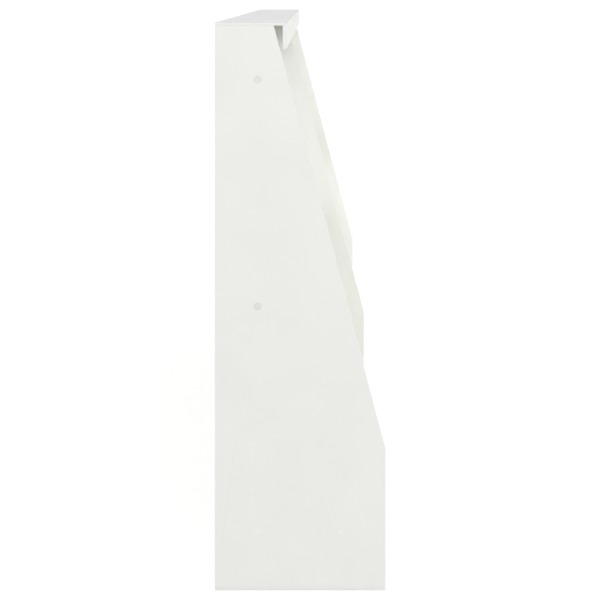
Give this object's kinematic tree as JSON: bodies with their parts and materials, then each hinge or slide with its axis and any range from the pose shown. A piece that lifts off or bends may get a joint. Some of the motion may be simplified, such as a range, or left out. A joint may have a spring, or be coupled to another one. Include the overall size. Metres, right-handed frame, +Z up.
{
  "type": "secretary desk",
  "caption": "White slant-front secretary desk with three sloping uprights, a drop-front writing flap on pull-out lopers, pigeonholes, open book shelves and drawers.",
  "frame": {"origin": "on the floor, under the middle of the desk's box", "axes": "+X along the desk's width, -Y out of its front, +Z up"},
  "size_m": [1.5012, 0.45, 1.5],
  "materials": {
    "white_board": "satin lacquer",
    "white_back": "painted hardboard",
    "white_plastic": "satin",
    "zinc_steel": "zinc plated",
    "hinge_brass": "satin",
    "knob_brass": "satin",
    "beech_dowel": "raw"
  },
  "bodies": {
    "case": {"upright_left": "white_board", "upright_middle": "white_board", "upright_right": "white_board", "top_panel": "white_board", "top_lip": "white_board", "bottom_shelf_left": "white_board", "bottom_shelf_right": "white_board", "worktop_left": "white_board", "worktop_right": "white_board", "upper_rail_left": "white_board", "upper_rail_right": "white_board", "organiser_shelf_lower": "white_board", "organiser_shelf_upper": "white_board", "divider_1": "white_board", "divider_2": "white_board", "divider_3": "white_board", "lower_shelf": "white_board", "book_shelf_lower": "white_board", "book_shelf_upper": "white_board", "loper_guides": "white_board", "back_panel_left": "white_back", "back_panel_right": "white_back", "cover_caps": "white_plastic", "flap_catch": "white_plastic", "loper_runners": "white_plastic", "drawer_runners": "white_plastic", "confirmat_screws": "zinc_steel", "cam_bolts": "zinc_steel", "cam_locks": "zinc_steel", "corner_brackets": "zinc_steel", "bracket_screws": "zinc_steel", "wall_brackets": "zinc_steel", "shelf_pins": "zinc_steel", "runner_screws": "zinc_steel", "hinge_fixed_leaves": "hinge_brass", "hinge_pins": "hinge_brass", "hinge_fixed_screws": "hinge_brass", "dowels": "beech_dowel"},
    "flap": {"flap_panel": "white_board", "flap_knob": "knob_brass", "flap_strike_plate": "zinc_steel", "hinge_moving_leaves": "hinge_brass", "hinge_moving_screws": "hinge_brass"},
    "loper_left_body": {"loper_left": "white_board", "loper_left_knob": "knob_brass", "loper_left_stop": "zinc_steel"},
    "loper_right_body": {"loper_right": "white_board", "loper_right_knob": "knob_brass", "loper_right_stop": "zinc_steel"},
    "drawer_upper": {"drawer_upper_front": "white_board", "drawer_upper_sides": "white_board", "drawer_upper_back": "white_board", "drawer_upper_bottom": "white_back", "drawer_upper_knob": "knob_brass"},
    "drawer_lower": {"drawer_lower_front": "white_board", "drawer_lower_sides": "white_board", "drawer_lower_back": "white_board", "drawer_lower_bottom": "white_back", "drawer_lower_knob": "knob_brass"}
  },
  "joints": [
    {"name": "flap_hinge", "type": "hinge", "parent": "case", "child": "flap", "pos_m": [-0.3705, -0.04745, 0.759], "axis": [1, 0, 0], "range_deg": [0, 104.76]},
    {"name": "loper_left_slide", "type": "slide", "parent": "case", "child": "loper_left_body", "axis": [0, -1, 0], "range_m": [0, 0.15]},
    {"name": "loper_right_slide", "type": "slide", "parent": "case", "child": "loper_right_body", "axis": [0, -1, 0], "range_m": [0, 0.15]},
    {"name": "drawer_upper_slide", "type": "slide", "parent": "case", "child": "drawer_upper", "axis": [0, -1, 0], "range_m": [0, 0.18]},
    {"name": "drawer_lower_slide", "type": "slide", "parent": "case", "child": "drawer_lower", "axis": [0, -1, 0], "range_m": [0, 0.18]}
  ]
}
